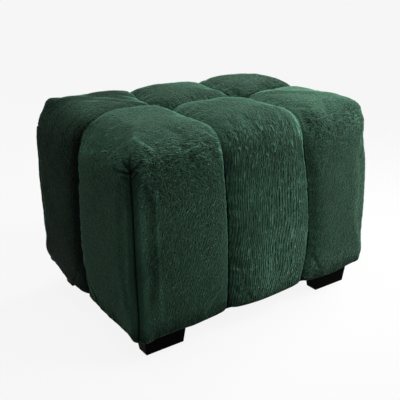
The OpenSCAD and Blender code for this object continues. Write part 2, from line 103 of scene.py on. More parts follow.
def feed(tree, node, values):
    for key, value in values:
        if isinstance(value, bpy.types.NodeSocket):
            tree.links.new(value, node.inputs[key])
        else:
            node.inputs[key].default_value = value


def addNode(tree, kind, inputs=None, **settings):
    node = tree.nodes.new("ShaderNode" + kind)
    for name, value in settings.items():
        setattr(node, name, value)
    feed(tree, node, (inputs or {}).items())
    return node


def mathNode(tree, operation, a, b=0.0, c=0.0):
    node = addNode(tree, "Math", operation=operation)
    feed(tree, node, enumerate((a, b, c)))
    return node.outputs[0]


def mixColour(tree, share, a, b, blend="MIX"):
    node = addNode(tree, "Mix", data_type="RGBA", blend_type=blend)
    feed(tree, node, ((0, share), (6, a), (7, b)))
    return node.outputs[2]


def mixValue(tree, share, a, b):
    node = addNode(tree, "Mix", data_type="FLOAT", clamp_factor=False)
    feed(tree, node, ((0, share), (2, a), (3, b)))
    return node.outputs[0]


def attributeNode(tree, name, output="Fac"):
    return addNode(tree, "Attribute", attribute_name=name).outputs[output]


def noiseNode(tree, place, scale, detail=2.0, roughness=0.5, distortion=0.0):
    return addNode(tree, "TexNoise", {
        "Vector": place, "Scale": scale, "Detail": detail, "Roughness": roughness,
        "Distortion": distortion}).outputs["Fac"]


def rangeNode(tree, value, low, high, top=1.0, kind="SMOOTHSTEP"):
    return addNode(tree, "MapRange", {
        "Value": value, "From Min": low, "From Max": high, "To Max": top},
        interpolation_type=kind).outputs["Result"]


def rampNode(tree, value, stops):
    node = addNode(tree, "ValToRGB", {"Fac": value})
    ramp = node.color_ramp
    while len(ramp.elements) < len(stops):
        ramp.elements.new(0.5)
    for element, (place, colour) in zip(ramp.elements, stops):
        element.position = place
        element.color = (*colour, 1)
    return node.outputs["Color"]


finish = {}


def dress(tree, **sockets):
    # values and links for the sockets of the shader, with _ for a space
    feed(tree, tree.nodes["Principled BSDF"], (
        (name.replace("_", " "), value) for name, value in sockets.items()))


def startMaterial(name, **sockets):
    finish[name] = bpy.data.materials.new(name)
    finish[name].use_nodes = True
    dress(finish[name].node_tree, **sockets)
    return finish[name].node_tree


def dressRough(tree, colour, height, strength, distance, **sockets):
    bumps = addNode(tree, "Bump", {"Height": height, "Strength": strength, "Distance": distance})
    dress(tree, Base_Color=colour, Normal=bumps.outputs["Normal"], **sockets)


def objectPlaces(tree, scale=(1, 1, 1)):
    place = addNode(tree, "TexCoord")
    return addNode(tree, "Mapping", {"Vector": place.outputs["Object"], "Scale": scale}).outputs[0]


# materials

# rim is the colour of a painted sheen on edge-on surfaces
chenille = dict(
    trough=(0.0040, 0.0110, 0.0070), body=(0.0290, 0.0730, 0.0475), crest=(0.0780, 0.1950, 0.1280),
    stops=(0.0, 0.28, 0.55, 0.95), glint=(0.16, 0.34, 0.23, 1), seam=(0.0010, 0.0026, 0.0018, 1),
    scale=200, distortion=0.7, length=(1, 0.42, 1), crossed=(0.40, 0.72, 1), flat=0.10,
    ribs={"Scale": 62, "Distortion": 4, "Detail": 2, "Detail Scale": 2.2, "Detail Roughness": 0.5},
    ribHeight=0.26, troughWidth=0.11, crestWidth=0.24, levelHeight=2.2, strength=1.0, depth=0.0031,
    fuzzScale=900, fuzzHeight=0.12, fuzzTone=0.20, napScale=13, napShare=0.5, napLow=0.75,
    speckScale=330, speckRange=(0.72, 0.80, 0.4), rim=(0.15, 0.45, 0.28, 1),
    rimRange=(0.79, 0.97, 0.65), sheen=0.50, sheenTint=(0.52, 1.0, 0.70, 1))


def crinkle(tree, place, stretch, ribs=None):
    # zero where the noise passes its middle: a net of thin troughs with ridges between them
    m = chenille
    flow = addNode(tree, "Mapping", {"Vector": place, "Scale": stretch}).outputs[0]
    net = noiseNode(tree, flow, m["scale"], 1.0, 0.5, m["distortion"])
    level = mathNode(tree, "ABSOLUTE", mathNode(tree, "SUBTRACT", net, 0.5))
    if ribs is None:
        return level
    bands = addNode(tree, "TexWave", {"Vector": flow, **m["ribs"]}, bands_direction="X")
    return mixValue(tree, ribs, level, mathNode(tree, "MULTIPLY", bands.outputs["Fac"], m["ribHeight"]))


def makeChenille():
    m = chenille
    tree = startMaterial(
        "green_chenille", Roughness=0.9, Sheen_Roughness=0.25, Sheen_Tint=m["sheenTint"],
        Specular_IOR_Level=0.07)
    share = attributeNode(tree, "weaveShare", "Vector")
    side, cross, rough = addNode(tree, "SeparateXYZ", {"Vector": share}).outputs
    ribs = attributeNode(tree, "ribShare")
    maps = []
    for name in ("weaveA", "weaveB"):
        place = attributeNode(tree, name, "Vector")
        maps.append(mixValue(
            tree, cross, crinkle(tree, place, m["length"], ribs), crinkle(tree, place, m["crossed"])))
    level = mixValue(tree, rough, m["flat"], mixValue(tree, side, *maps))
    level = mathNode(tree, "MAXIMUM", level, 0.0)
    place = objectPlaces(tree)
    fuzz = noiseNode(tree, place, m["fuzzScale"], 1.5, 0.6)
    nap = noiseNode(tree, place, m["napScale"])
    speck = noiseNode(tree, place, m["speckScale"], 0)
    trough = rangeNode(tree, level, 0.0, m["troughWidth"])
    height = mathNode(tree, "MULTIPLY_ADD", fuzz, m["fuzzHeight"], trough)
    height = mathNode(tree, "MULTIPLY_ADD", level, m["levelHeight"], height)
    fill = mathNode(tree, "DIVIDE", level, m["crestWidth"])
    fill = mathNode(tree, "MULTIPLY_ADD", mathNode(tree, "SUBTRACT", fuzz, 0.5), m["fuzzTone"], fill)
    colours = (m["trough"], m["body"], m["body"], m["crest"])
    colour = rampNode(tree, fill, tuple(zip(m["stops"], colours)))
    # the nap noise gives random tone; the paintedLightTone attribute multiplies in painted light and shade
    tone = attributeNode(tree, "paintedLightTone")
    bright = mathNode(tree, "MULTIPLY_ADD", nap, m["napShare"], m["napLow"])
    bright = mathNode(tree, "MULTIPLY", bright, tone)
    shade = addNode(tree, "CombineColor", {"Red": bright, "Green": bright, "Blue": bright})
    colour = mixColour(tree, 1.0, colour, shade.outputs[0], "MULTIPLY")
    specks = rangeNode(tree, speck, *m["speckRange"], kind="LINEAR")
    colour = mixColour(tree, specks, colour, m["glint"])
    # painted sheen: the colour turns to the bright rim green where the surface is seen edge-on
    facing = addNode(tree, "LayerWeight", {"Blend": 0.5}).outputs["Facing"]
    colour = mixColour(tree, rangeNode(tree, facing, *m["rimRange"]), colour, m["rim"])
    # the seam attribute darkens the colour to the seam colour: dark thread lines, and painted shade in
    # seam valleys, creases and around the tufts
    seamLineAndShade = attributeNode(tree, "seamShade")
    colour = mixColour(tree, seamLineAndShade, colour, m["seam"])
    # the sheen fades out where the seam attribute paints dark, and is lessened where the panel tone is
    # painted darker
    sheen = mathNode(tree, "MULTIPLY_ADD", seamLineAndShade, -m["sheen"], m["sheen"])
    sheen = mathNode(tree, "MULTIPLY", sheen, mathNode(tree, "MINIMUM", tone, 1.0))
    dressRough(tree, colour, height, m["strength"], m["depth"], Sheen_Weight=sheen)


def makeBlackWood():
    tree = startMaterial("black_foot", Specular_IOR_Level=0.01)
    grain = noiseNode(tree, objectPlaces(tree, (60, 900, 700)), 1, 3, 0.6)
    soft = noiseNode(tree, objectPlaces(tree), 30)
    tone = mathNode(tree, "MULTIPLY_ADD", grain, 0.4, soft)
    colour = rampNode(tree, tone, ((0.3, (0.0004, 0.0004, 0.0004)), (1.0, (0.0014, 0.0014, 0.0013))))
    rough = mathNode(tree, "MULTIPLY_ADD", soft, 0.2, 0.46)
    dressRough(tree, colour, grain, 0.25, 0.0002, Roughness=rough)


def makeTimber():
    tree = startMaterial("frame_timber", Roughness=0.62, Specular_IOR_Level=0.3)
    rings = addNode(tree, "TexWave", {
        "Vector": objectPlaces(tree, (3, 34, 34)), "Scale": 1.4, "Distortion": 5, "Detail": 3,
        "Detail Scale": 1.6}, wave_type="RINGS").outputs["Fac"]
    pores = noiseNode(tree, objectPlaces(tree, (25, 700, 700)), 1, 3)
    tone = mathNode(tree, "MULTIPLY_ADD", pores, 0.35, rings)
    colour = rampNode(tree, tone, ((0.15, (0.42, 0.25, 0.12)), (0.9, (0.62, 0.42, 0.24))))
    dressRough(tree, colour, pores, 0.3, 0.0003)


def makeBoard():
    tree = startMaterial("hardboard", Roughness=0.7, Specular_IOR_Level=0.25)
    fibre = noiseNode(tree, objectPlaces(tree), 420, 4)
    tone = mathNode(tree, "MULTIPLY_ADD", fibre, 0.6, noiseNode(tree, objectPlaces(tree), 25))
    colour = rampNode(tree, tone, ((0.45, (0.105, 0.055, 0.030)), (1.0, (0.200, 0.118, 0.066))))
    dressRough(tree, colour, fibre, 0.3, 0.0003)


def makeFoam():
    tree = startMaterial("foam", Roughness=0.95, Specular_IOR_Level=0.1)
    cells = addNode(tree, "TexVoronoi", {
        "Vector": objectPlaces(tree), "Scale": 650}).outputs["Distance"]
    tone = mathNode(tree, "MULTIPLY_ADD", cells, 0.6, noiseNode(tree, objectPlaces(tree), 12))
    colour = rampNode(tree, tone, ((0.3, (0.50, 0.42, 0.22)), (0.9, (0.78, 0.70, 0.46))))
    dressRough(tree, colour, cells, 0.5, 0.0008)


def makeWebbing():
    tree = startMaterial("webbing", Roughness=0.85, Specular_IOR_Level=0.2)
    warp, weft = (addNode(tree, "TexWave", {
        "Vector": objectPlaces(tree), "Scale": 190, "Distortion": 0.6, "Detail": 1},
        bands_direction=way).outputs["Fac"] for way in "XY")
    weave = mathNode(tree, "MULTIPLY", warp, weft)
    colour = rampNode(tree, weave, ((0.0, (0.055, 0.052, 0.048)), (0.8, (0.160, 0.150, 0.135))))
    dressRough(tree, colour, weave, 0.6, 0.0005)


def makeTwine():
    tree = startMaterial("twine", Roughness=0.8, Specular_IOR_Level=0.2)
    lay = addNode(tree, "TexWave", {
        "Vector": objectPlaces(tree, (1, 1, 0.6)), "Scale": 420, "Distortion": 1},
        bands_direction="DIAGONAL").outputs["Fac"]
    colour = rampNode(tree, lay, ((0.1, (0.30, 0.25, 0.17)), (0.9, (0.62, 0.56, 0.43))))
    dressRough(tree, colour, lay, 0.6, 0.0004)


def makeDustCloth():
    tree = startMaterial("dust_cloth", Roughness=0.9, Specular_IOR_Level=0.15)
    place = objectPlaces(tree)
    bonds = addNode(tree, "TexVoronoi", {
        "Vector": place, "Scale": 420, "Randomness": 0.15}).outputs["Distance"]
    tone = mathNode(
        tree, "MULTIPLY_ADD", noiseNode(tree, place, 900, 3), 0.5, noiseNode(tree, place, 18))
    colour = rampNode(tree, tone, ((0.4, (0.006, 0.006, 0.007)), (1.0, (0.026, 0.026, 0.028))))
    dressRough(tree, colour, bonds, 0.5, 0.0003)


def makeSteel():
    tree = startMaterial("steel", Metallic=1.0, Base_Color=(0.62, 0.62, 0.60, 1))
    wear = noiseNode(tree, objectPlaces(tree), 700)
    colour = rampNode(tree, wear, ((0.3, (0.46, 0.46, 0.45)), (0.7, (0.68, 0.67, 0.64))))
    rough = mathNode(tree, "MULTIPLY_ADD", wear, 0.3, 0.2)
    dressRough(tree, colour, wear, 0.2, 0.0001, Roughness=rough)


for make in (
        makeChenille, makeBlackWood, makeTimber, makeBoard, makeFoam, makeWebbing, makeTwine,
        makeDustCloth, makeSteel):
    make()
print("materials made,", len(finish))

# CAD nodes that stay in the scene take a finish by the start of their name
nodeFinish = {
    "frame_timber": ("base_rail", "top_rail", "post_", "tuft_batten"),
    "hardboard": ("side_panel",), "foam": ("seat_foam", "side_foam"),
    "webbing": ("long_strap", "cross_strap"), "twine": ("tuft_twine",),
    "steel": (
        "foot_screws", "frame_screws", "panel_pins", "webbing_staples", "hem_staples",
        "dust_cover_staples")}
for name, node in nodes.items():
    for slot, starts in nodeFinish.items():
        if name.startswith(starts):
            node.data.materials.clear()
            node.data.materials.append(finish[slot])


def addPiece(name, mesh, slot, replaced):
    piece = bpy.data.objects.new(name, mesh)
    scene.collection.objects.link(piece)
    mesh.materials.clear()
    mesh.materials.append(finish[slot])
    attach(piece, "root")
    if replaced:
        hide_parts(*replaced)
    return piece


# the six padded panels of the cover

panel = dict(
    cuts=64, topEnd=16, shoulderEnd=28, wallEnd=60, footRow=61, footIn=62, slack=0.0045, dartSlack=0.16,
    innerPower=40, footGap=0.0006, footSetIn=0.0025, voxel=0.005, cap=0.0055, pinned=0.0045,
    pinnedDepth=0.0036, pinnedLow=0.058, seamGap=0.0002, tight=0.0056, tightReach=0.014,
    tightDepths=(0.005, 0.010), lipTight=0.0080, lipReach=0.020, lipDepths=(0.007, 0.011),
    finerTop=0.40, finerDepth=0.0045, gatherHeight=0.008, gatherReach=0.034, finer=(
        dict(seam=0.009, dart=0.014, gather=0.036, tuft=0.050),
        dict(seam=0, dart=0.0045, gather=0.028, tuft=0)))
cloth = dict(
    quality=6, mass=0.25, air_damping=2.0, tension_stiffness=12, compression_stiffness=12,
    shear_stiffness=6, bending_stiffness=0.4, use_pressure=True, uniform_pressure_force=4.0,
    shrink_min=-0.025, vertex_group_mass="held")
clothFrames = 20


def puff(way):
    c = np.clip(way, 0, 1)
    return np.sqrt(1 - (1 - c) ** 2)


def dimple(r):
    return form["tuftDepth"] * np.clip(1 - r / form["tuftReach"], 0, 1) ** 2


def rimReach(u, v, power):
    rho = np.maximum(np.maximum(u, v), 1e-9)
    a, b = u / rho, v / rho
    size = np.maximum((a ** power + b ** power) ** (1 / power), 1e-9)
    return a / size, b / size


def rowTurn(u, v, corner):
    # the row of the grid, and how far the cover has turned over the shoulder there
    row = (np.maximum(u, v) if corner else v) * panel["cuts"]
    start, end = panel["topEnd"], panel["shoulderEnd"]
    return row, math.pi / 2 * np.clip((end - row) / (end - start), 0, 1)


def planPlaces(u, v, corner, power, halfX, halfY):
    # x, y, the distances from both seams and the share of each wall
    f, row = form, rowTurn(u, v, corner)[0]
    way = np.minimum(row / panel["topEnd"], 1)
    x0, y0 = f["tuftX"] + f["gap"], f["gap"]
    reachX, reachY = halfX - x0, halfY - y0
    if corner:
        a, b = rimReach(u, v, power)
        near, along = reachX * way * a, reachY * way * b
        return x0 + near, y0 + along, near, along, a, b
    half = f["tuftX"] - f["gap"]
    x, along = half * (2 * u - 1), reachY * way
    return x, y0 + along, half - np.abs(x), along, np.zeros_like(u), np.ones_like(u)


def outerPlaces(u, v, corner):
    f, p = form, panel
    row, turn = rowTurn(u, v, corner)
    rs, rt = f["shoulder"], f["tuck"]
    cosine = np.maximum(np.cos(turn), 0) ** (2 / f["shoulderPower"])
    sine = np.maximum(np.sin(turn), 0) ** (2 / f["shoulderPower"])
    fold = math.pi / 2 * np.clip((row - p["wallEnd"]) / (p["cuts"] - p["wallEnd"]), 0, 1)
    fall = np.clip((row - p["shoulderEnd"]) / (p["wallEnd"] - p["shoulderEnd"]), 0, 1)
    high, low = f["top"] - f["shoulder"], f["low"] + f["tuck"]
    setIn = rs * (1 - cosine) + rt * (1 - np.cos(fold))
    z = high + rs * sine - (high - low) * fall - rt * np.sin(fold)
    x, y, near, along, a, b = planPlaces(
        u, v, corner, f["cornerPower"], f["wallX"] - setIn, f["wallY"] - setIn)
    out, slack = np.stack([a, b], 1), 1
    if corner:
        out = out ** (f["cornerPower"] - 1)
        out /= np.linalg.norm(out, axis=1)[:, None] + 1e-12
        slack = 1 - bump(a - b, p["dartSlack"])
    flat = 1 - puff(near / f["puffReach"]) * puff(along / f["puffReach"])
    rise = (z - f["low"]) / (f["top"] - f["low"])
    swell = f["swell"] * 4 * rise * (1 - rise)
    slack = p["slack"] * slack * (1 - flat)
    inward = (f["sideSeam"] * flat - swell + slack) * np.sqrt(1 - np.minimum(sine, 1) ** 2)
    down = (f["topSeam"] * flat + slack) * sine + dimple(np.hypot(near, along)) * sine ** 2
    return np.stack([x - out[:, 0] * inward, y - out[:, 1] * inward, z - down], 1)


def innerPlaces(u, v, corner):
    f, p = form, panel
    row, turn = rowTurn(u, v, corner)
    r = f["foamEdge"] + f["foamGap"]
    fall = np.clip((row - p["shoulderEnd"]) / (p["footRow"] - p["shoulderEnd"]), 0, 1)
    under = np.clip(row - p["footRow"], 0, 1)
    drop = np.clip((row - p["footIn"]) / (p["cuts"] - p["footIn"]), 0, 1)
    high = f["foamTop"] - f["foamEdge"]
    low = f["foamLow"] - p["footGap"]
    setIn = r * (1 - np.cos(turn)) + under * (f["foamX"] + f["foamGap"] - f["panelX"] - p["footSetIn"])
    z = high + r * np.sin(turn) - (high - low) * fall - drop * (low - f["low"] - p["footGap"])
    halfX, halfY = f["foamX"] + f["foamGap"] - setIn, f["foamY"] + f["foamGap"] - setIn
    x, y, near, along = planPlaces(u, v, corner, p["innerPower"], halfX, halfY)[:4]
    z = z - np.where(row < p["topEnd"], dimple(np.hypot(near, along)), 0)
    return np.stack([x, y, z], 1)


def foamDistance(points):
    f = form
    px, py = np.abs(points[:, 0]), np.abs(points[:, 1])
    r = f["foamEdge"]
    qx, qy, qz = px - (f["foamX"] - r), py - (f["foamY"] - r), points[:, 2] - (f["foamTop"] - r)
    near = np.hypot(np.abs(px - f["tuftX"]), py)
    topSide = np.clip(qz / r, 0, 1)
    beside = np.maximum(qx, qy)
    round2 = np.hypot(np.maximum(beside, 0), np.maximum(qz, 0)) - r
    return np.where((beside > 0) | (qz > 0), round2, -r) + dimple(near) * topSide


def closedPanel(corner):
    bm = bmesh.new()
    bmesh.ops.create_cube(bm, size=2)
    flat = [e for e in bm.edges if abs(e.verts[0].co.z - e.verts[1].co.z) < 1e-6]
    bmesh.ops.subdivide_edges(bm, edges=flat, cuts=panel["cuts"] - 1, use_grid_fill=True)
    start = np.array([v.co for v in bm.verts])
    u, v = (start[:, 0] + 1) / 2, (start[:, 1] + 1) / 2
    outer = outerPlaces(u, v, corner)
    inner = innerPlaces(u, v, corner)
    for vertex, place in zip(bm.verts, np.where(start[:, 2:] > 0, outer, inner)):
        vertex.co = place
    bmesh.ops.recalc_face_normals(bm, faces=bm.faces)
    return meshFrom(bm, "panel")


def withModifier(mesh, kind, **settings):
    obj = bpy.data.objects.new("working", mesh)
    scene.collection.objects.link(obj)
    modifier = obj.modifiers.new("step", kind)
    for name, value in settings.items():
        setattr(modifier, name, value)
    graph = bpy.context.evaluated_depsgraph_get()
    result = bpy.data.meshes.new_from_object(
        obj.evaluated_get(graph), preserve_all_data_layers=False, depsgraph=graph)
    bpy.data.objects.remove(obj)
    return result


def seamDistances(points, corner):
    f = form
    if corner:
        return points[:, 0] - f["tuftX"] - f["gap"], points[:, 1] - f["gap"]
    return f["tuftX"] - f["gap"] - np.abs(points[:, 0]), points[:, 1] - f["gap"]


def inflate(mesh, corner):
    p = panel
    obj = bpy.data.objects.new("inflating", mesh)
    scene.collection.objects.link(obj)
    before = coordsOf(mesh)
    near, along = seamDistances(before, corner)
    held = (foamDistance(before) < p["pinnedDepth"]) | (before[:, 2] < p["pinnedLow"])
    held |= (near < p["pinned"]) | (along < p["pinned"])
    group = obj.vertex_groups.new(name="held")
    group.add([int(i) for i in np.nonzero(held)[0]], 1.0, "REPLACE")
    modifier = obj.modifiers.new("cloth", "CLOTH")
    for name, value in cloth.items():
        setattr(modifier.settings, name, value)
    modifier.settings.effector_weights.gravity = 0
    modifier.collision_settings.use_collision = False
    modifier.point_cache.frame_start, modifier.point_cache.frame_end = 1, clothFrames
    for step in range(1, clothFrames + 1):
        scene.frame_set(step)
    graph = bpy.context.evaluated_depsgraph_get()
    after = coordsOf(obj.evaluated_get(graph).data)
    scene.frame_set(1)
    bpy.data.objects.remove(obj)
    moved = after - before
    size = np.linalg.norm(moved, axis=1)
    most, middle = size.max() * 1000, np.median(size[~held]) * 1000
    print(f"  swelled by {most:.1f} mm at most, {middle:.2f} mm in the middle")
    moved *= (p["cap"] * np.tanh(size / p["cap"]) / np.maximum(size, 1e-9))[:, None]
    return keptApart(before + moved, corner)


def keptApart(points, corner):
    # no point crosses the planes between the panels
    near, along = seamDistances(points, corner)
    shiftX = np.maximum(panel["seamGap"] - near, 0)
    points[:, 0] += shiftX if corner else -np.sign(points[:, 0]) * shiftX
    points[:, 1] += np.maximum(panel["seamGap"] - along, 0)
    return points


def cornerChart(points):
    # distance from the upright corner seam, and height carried on over the shoulder
    f = form
    reachX, reachY = f["wallX"] - f["tuftX"], f["wallY"]
    a = (np.abs(points[:, 0]) - f["tuftX"]) / reachX
    b = np.abs(points[:, 1]) / reachY
    away = (a - b) * reachX * reachY / math.hypot(reachX, reachY)
    a, b = np.maximum(a, 1e-6), np.maximum(b, 1e-6)
    around = (a ** f["cornerPower"] + b ** f["cornerPower"]) ** (1 / f["cornerPower"])
    return away, points[:, 2] + (1 - np.minimum(around, 1)) * f["overShoulder"]


def finerMesh(mesh, corner):
    # smaller faces beside the seams, the upright corner seam and the tuft
    p = panel
    bm = bmesh.new()
    bm.from_mesh(mesh)
    for reach in p["finer"]:
        points = np.array([v.co for v in bm.verts])
        near, along = seamDistances(points, corner)
        onTop = points[:, 2] > p["finerTop"]
        chosen = (near < reach["seam"]) | ((along < reach["seam"]) & (onTop | corner))
        chosen |= (np.hypot(near, along) < reach["tuft"]) & onTop
        if corner:
            away = np.abs(cornerChart(points)[0])
            chosen |= (away < reach["dart"]) & ~onTop
            above = points[:, 2] - detail["seamTop"] - p["gatherHeight"]
            chosen |= (away < reach["gather"]) & (np.abs(above) < p["gatherReach"])
        chosen &= foamDistance(points) > p["finerDepth"]
        edges = [e for e in bm.edges if chosen[e.verts[0].index] and chosen[e.verts[1].index]]
        bmesh.ops.subdivide_edges(bm, edges=edges, cuts=1, use_grid_fill=True)
        bm.verts.index_update()
    return meshFrom(bm, "finer")


def tightened(points, corner):
    # the cover turns in sharply where two panels are sewn together
    p = panel
    near, along = seamDistances(points, corner)
    depth = foamDistance(points)
    outside, lip = smooth(depth, *p["tightDepths"]), 1 - smooth(depth, *p["lipDepths"])
    for axis, distance in ((0, near), (1, along)):
        shift = p["tight"] * np.clip(1 - distance / p["tightReach"], 0, 1) * outside
        shift = np.maximum(shift, p["lipTight"] * np.clip(1 - distance / p["lipReach"], 0, 1) * lip)
        shift = np.minimum(shift, np.maximum(distance - p["seamGap"], 0))
        points[:, axis] -= shift * (1 if corner or axis == 1 else -np.sign(points[:, 0]))
    return points


def paddedPanel(corner):
    mesh = closedPanel(corner)
    mesh = withModifier(mesh, "REMESH", mode="VOXEL", voxel_size=panel["voxel"], adaptivity=0)
    print("panel remeshed,", len(mesh.vertices), "vertices")
    setCoords(mesh, inflate(mesh, corner))
    mesh = finerMesh(withModifier(mesh, "SUBSURF", levels=1, render_levels=1), corner)
    setCoords(mesh, tightened(coordsOf(mesh), corner))
    return mesh


# what each copy of a panel gets of its own; heights and widths in metres
detail = dict(
    leastPad=0.0036, lifted=(0.0034, 0.0060), shoulder=(0.36, 0.40), broad=0.0018, broadScale=8.5,
    middling=0.0009, middlingScale=24, seamCalm=0.05, pullScale=85, seamPucker=0.0008,
    seamPuckerReach=0.016, puckerStart=0.004, valley=0.0075, valleyReach=0.0075, topValley=0.65,
    topValleyHeights=(0.38, 0.42), tuftPleat=0.0026, bottomPull=0.0014, bottomPullScale=24,
    bottomPullReach=0.028, roll=0.0042, rollHeight=0.0575, rollWidth=0.011, crinkle=0.00030,
    crinkleScale=(120, 34, 1), seamTop=0.391, groove=0.0030, grooveWidth=0.0017, cheek=0.0036,
    cheekWidth=0.010, cornerPucker=0.0014, cornerPuckerReach=0.009, cornerPuckerScale=(110, 1, 1),
    pinchWidth=0.045, tuckHeight=0.055, tuckReach=0.024, earWidth=0.040, earTip=0.014,
    earHeight=0.4385)
# seam lines and stitches, painted shade in the seam valleys and around the tufts, a painted shadow band, a
# painted highlight rim (rim) and painted shade towards the bottom (low)
shading = dict(
    threadWidth=0.0018, stitch=0.0062, seamValleyShade=0.22, seamValleyShadeReach=0.0085, tuft=0.85, tuftReach=0.015,
    tuftReachBehind=0.020, alongWidth=1.2, alongWidthBehind=2.2, shadowReach=0.016, rim=1.8,
    low=0.70, lowShadeHeights=(0.050, 0.095))
basePanels = {True: paddedPanel(True), False: paddedPanel(False)}
print("panels swelled")


weave = dict(
    warp=0.010, warpScale=11, offset=0.37, fold=0.004, foldGrowth=0.35, crossHeights=(0.29, 0.36),
    topHeights=(0.425, 0.44), roughHeights=(0.08, 0.33), shoulderHeight=0.405, shoulderReach=0.028,
    roughTop=0.55, roughTopHeights=(0.415, 0.437), calm=0.6, calmCorner=0.022, calmSeam=0.016)


def fabricMap(points, corner, seed):
    # places in the cloth for the wall on either side of the corner, and the shares of its looks
    f, w = form, weave
    px, py, z = points[:, 0], np.abs(points[:, 1]), points[:, 2]
    drop = f["top"] - z
    turn = math.radians(seed["slant"])
    fine, long = seed["grain"]
    warp = w["warp"] * noiseAt(points, w["warpScale"], (seed["shift"], 0, 0))
    offset = seed["shift"] * w["offset"]

    def turned(across, along):
        across = across + warp
        return np.stack([
            fine * (across * math.cos(turn) - along * math.sin(turn)) + offset,
            long * (across * math.sin(turn) + along * math.cos(turn)), np.zeros(len(px))], 1)

    weaveA, weaveB = turned(px, py + drop), turned(py, px + drop)
    low, high, shoulder = seed["rough"]
    cross = smooth(z, *w["crossHeights"]) * (1 - 0.5 * smooth(z, *w["topHeights"])) * seed["crossed"]
    rough = low + (high - low) * smooth(z, *w["roughHeights"])
    rough += shoulder * bump(z - w["shoulderHeight"], w["shoulderReach"]) \
        - (high - w["roughTop"]) * smooth(z, *w["roughTopHeights"])
    side = np.zeros(len(px))
    if corner:
        away = cornerChart(points)[0]
        width = w["fold"] + np.clip(z - 0.35, 0, 0.1) * w["foldGrowth"]
        side = smooth(away, -width, width)
        rough *= 1 - w["calm"] * bump(away, w["calmCorner"]) * (1 - smooth(z, 0.385, 0.405))
    rough *= 1 - w["calm"] * np.exp(-seamDistances(points, corner)[0] / w["calmSeam"])
    return weaveA, weaveB, np.stack([side, cross, rough], 1)


def pleatLine(away, height, start, end, width):
    # a crease with a lip on both sides, and a share along its line: the painted shade at a crease's
    # bottom, and the height and lighter tone of a streak
    a, b = np.array(start), np.array(end)
    d = b - a
    place = np.stack([away, height], 1) - a
    t = np.clip(place @ d / (d @ d), 0, 1)
    gap = np.linalg.norm(place - t[:, None] * d, axis=1) / width
    fade = 1 - 0.45 * t
    return (1.15 * gap ** 2 - 1) * np.exp(-gap ** 2) * fade, np.exp(-(0.88 * gap) ** 2) * fade


def relief(points, corner, seed):
    m = detail
    near, along = seamDistances(points, corner)
    px, py, z = np.abs(points[:, 0]), np.abs(points[:, 1]), points[:, 2]
    run = form["top"] - z + along
    onTop = smooth(z, *m["shoulder"])
    shift = seed["shift"]
    rise = m["broad"] * noiseAt(points, m["broadScale"], (shift, 1, 2))
    rise += m["middling"] * noiseAt(points, m["middlingScale"], (shift, 5, 6))
    rise *= smooth(np.minimum(near, along), 0.0, m["seamCalm"])
    for distance, place, start, share in (
            (near, run, (shift * 3, 0.5, 0.5), 1), (along, px, (shift * 5, 3.5, 0.5), onTop)):
        pulls = noiseAlong(place, 0, m["pullScale"], start)
        rise += m["seamPucker"] * pulls * np.exp(-distance / m["seamPuckerReach"]) \
            * smooth(distance, 0, m["puckerStart"]) * share
    # where two panels meet, one is full up to the seam and the other falls away to it
    deepX, deepY = np.full(len(px), seed["deep"][0]), seed["deep"][1]
    if not corner and seed["signs"][1] < 0:
        deepX = seed["deep"][0] * smooth(-points[:, 0] * seed["signs"][0], -0.05, 0.05)
    for distance, deep, share in ((near, deepX, 1), (along, deepY, 1 if corner else onTop)):
        depth, reach = m["valley"] * (0.60 + 0.65 * deep), m["valleyReach"] * (0.55 + 0.95 * deep)
        wall = 1 - m["topValley"] * smooth(z, *m["topValleyHeights"]) * (1 - 0.6 * deep)
        rise -= depth * wall * np.exp(-distance / reach) * share
    r = np.hypot(near, along)
    bearing = np.degrees(np.arctan2(along, np.maximum(near, 1e-6)))
    for angle, reach, share in seed["tuftPleats"]:
        offLine = r * np.sin(np.radians(bearing - angle))
        ahead = r * np.cos(np.radians(bearing - angle)) > 0
        gap = offLine / (0.0026 + r * 0.05)
        rise += m["tuftPleat"] * share * (1.15 * gap ** 2 - 1) * np.exp(-gap ** 2) * ahead * onTop \
            * smooth(r, 0.004, 0.014) * (1 - smooth(r, reach * 0.4, reach))
    pulls = noiseAlong(px, py, m["bottomPullScale"], (shift * 7, 1.5, 0.5))
    rise += m["bottomPull"] * pulls * np.exp(-(z - form["low"]) / m["bottomPullReach"])
    rise += m["roll"] * bump(z - m["rollHeight"], m["rollWidth"]) * (1 - 0.6 * bump(near, 0.03)) \
        * smooth(near, 0, 0.01) * (1 - 0.7 * bump(cornerChart(points)[0], 0.04) * corner)
    for x, y, height, reach in seed["fuller"]:
        rise += height * bump(np.hypot(px - x, py - y), reach) * onTop
    seamLineAndShade = seamShades(points, corner, seed, (near, along, deepX, deepY, run, onTop))
    if corner:
        rise, dark = cornerRelief(rise, points, seed)
        seamLineAndShade = np.maximum(seamLineAndShade, dark)
    weaveA, weaveB, share = fabricMap(points, corner, seed)
    ridges = [noiseAt(w, m["crinkleScale"], (0, 0, shift)) for w in (weaveA, weaveB)]
    ridge = ridges[0] * (1 - share[:, 0]) + ridges[1] * share[:, 0]
    rise += m["crinkle"] * ridge * smooth(np.minimum(near, along), 0.001, 0.01)
    foam = foamDistance(points)
    rise = np.maximum(rise, -np.maximum(foam - m["leastPad"], 0))
    outside = smooth(foam, *m["lifted"])
    return rise * outside, weaveA, weaveB, share, seamLineAndShade * outside


